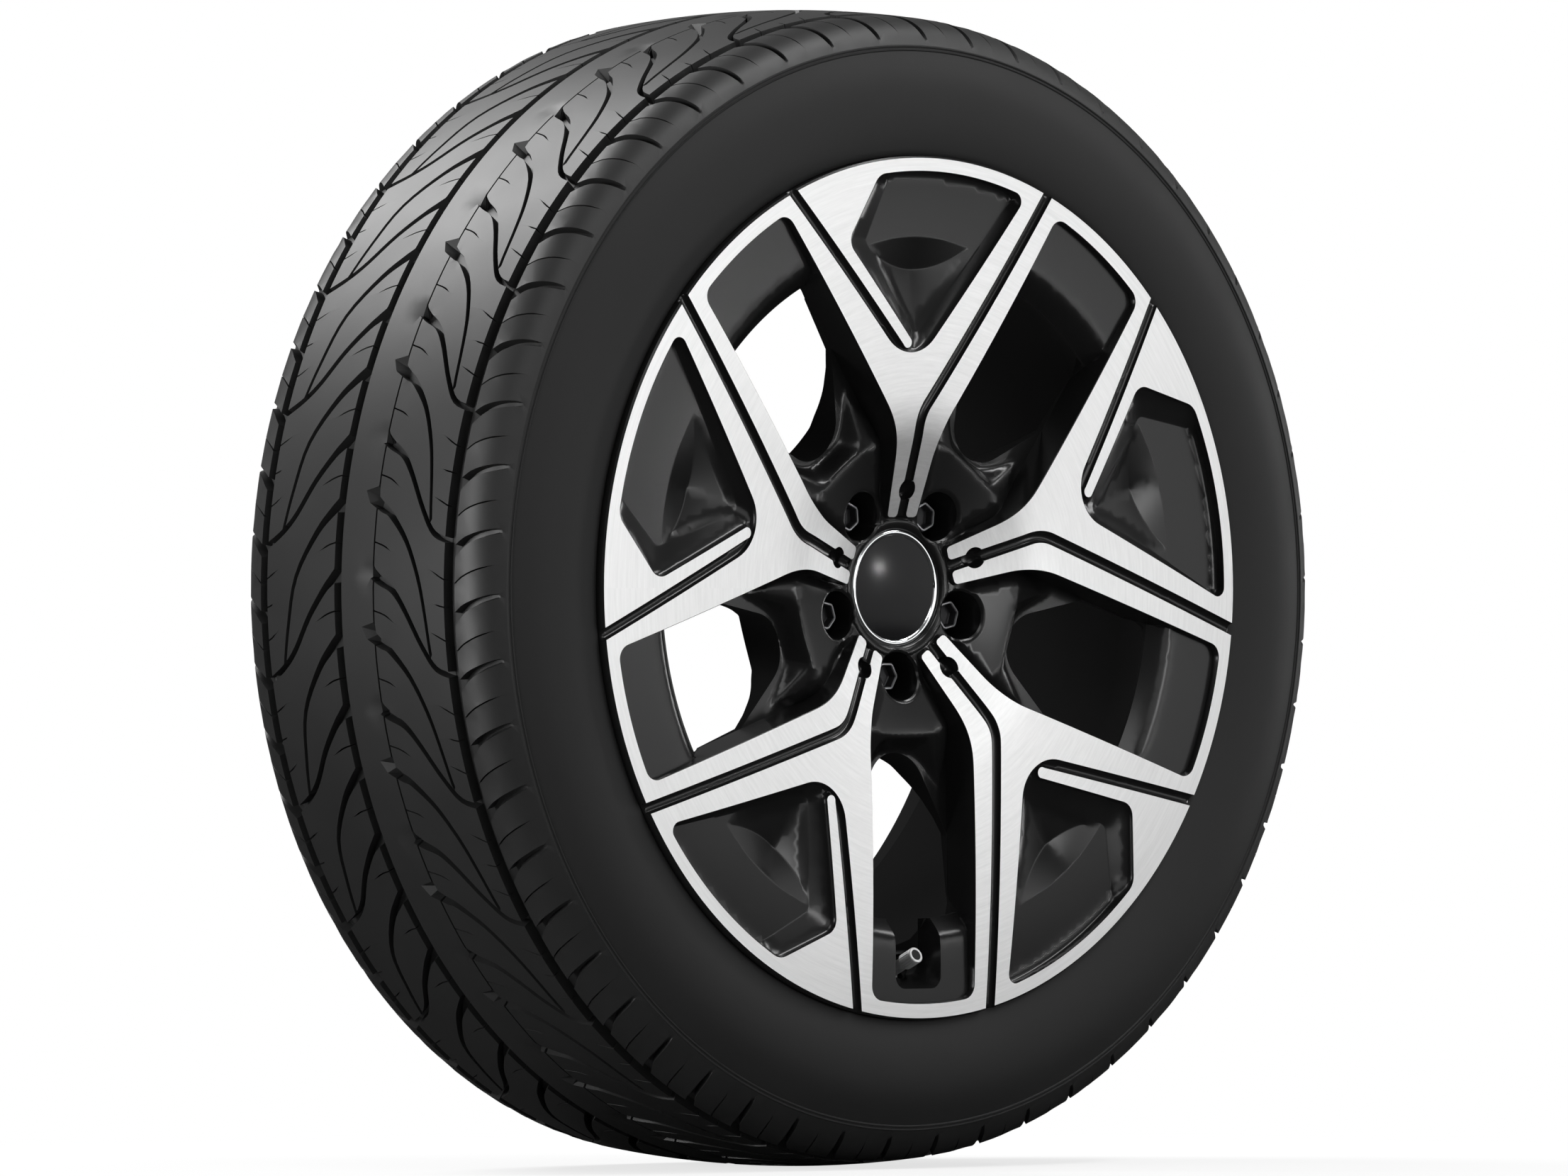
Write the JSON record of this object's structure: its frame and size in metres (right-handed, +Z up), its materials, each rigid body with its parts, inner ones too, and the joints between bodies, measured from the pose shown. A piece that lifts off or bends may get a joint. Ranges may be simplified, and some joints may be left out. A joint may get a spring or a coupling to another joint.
{
  "type": "wheel and tyre assembly",
  "caption": "Light-alloy car wheel with forked spokes and a bright turned face, fitted with a low-profile tyre, wheel bolts, centre cap and air valve.",
  "frame": {"origin": "centre of the hub bore on the wheel's mounting pad", "axes": "+Y along the spin axis towards the vehicle, outer face towards -Y, +Z up with the valve at the bottom"},
  "size_m": [0.7374, 0.2598, 0.7374],
  "materials": {
    "alloy": "black enamel with a diamond-turned bright face",
    "tyre": "matt moulded rubber",
    "bolt_steel": "dark zinc-flake coating",
    "cap_black": "gloss black",
    "cap_chrome": "bright chrome",
    "spring_steel": "bare spring wire",
    "valve_alloy": "satin anodised",
    "valve_cap_alloy": "satin anodised",
    "seal_rubber": "soft black rubber",
    "core_brass": "bare brass",
    "sensor_plastic": "moulded and potted"
  },
  "bodies": {
    "wheel": {"alloy_wheel": "alloy", "tyre": "tyre", "wheel_bolts": "bolt_steel", "centre_cap_shell": "cap_black", "centre_cap_ring": "cap_chrome", "centre_cap_spring": "spring_steel", "valve_stem": "valve_alloy", "valve_sleeve_seal": "seal_rubber", "valve_washer": "valve_alloy", "valve_nut": "valve_alloy", "valve_core_housing": "core_brass", "valve_core_ring_seal": "seal_rubber", "valve_core_spring": "spring_steel", "sensor_housing": "sensor_plastic", "sensor_screw": "bolt_steel"},
    "cap_seal": {"valve_cap_seal": "seal_rubber"},
    "valve_cap": {"valve_cap": "valve_cap_alloy"},
    "core_pin": {"valve_core_pin": "core_brass", "valve_core_gasket": "seal_rubber"}
  },
  "joints": [
    {"name": "cap_lift", "type": "slide", "parent": "wheel", "child": "cap_seal", "axis": [0, -0.9078, 0.4195], "range_m": [0, 0.00556]},
    {"name": "cap_turn", "type": "hinge", "parent": "cap_seal", "child": "valve_cap", "pos_m": [0, -0.0701, -0.23508], "axis": [0, -0.9078, 0.4195], "range_deg": [0, 2521]},
    {"name": "pin_press", "type": "slide", "parent": "wheel", "child": "core_pin", "axis": [0, 0.9078, -0.4195], "range_m": [0, 0.0015], "stiffness_N_per_m": 2500, "springref_m": -0.002, "deforming": ["valve_core_spring"]}
  ],
  "couplings": [
    {"joint": "cap_turn", "follows": "cap_lift", "rad_per_m": 7913.3}
  ]
}
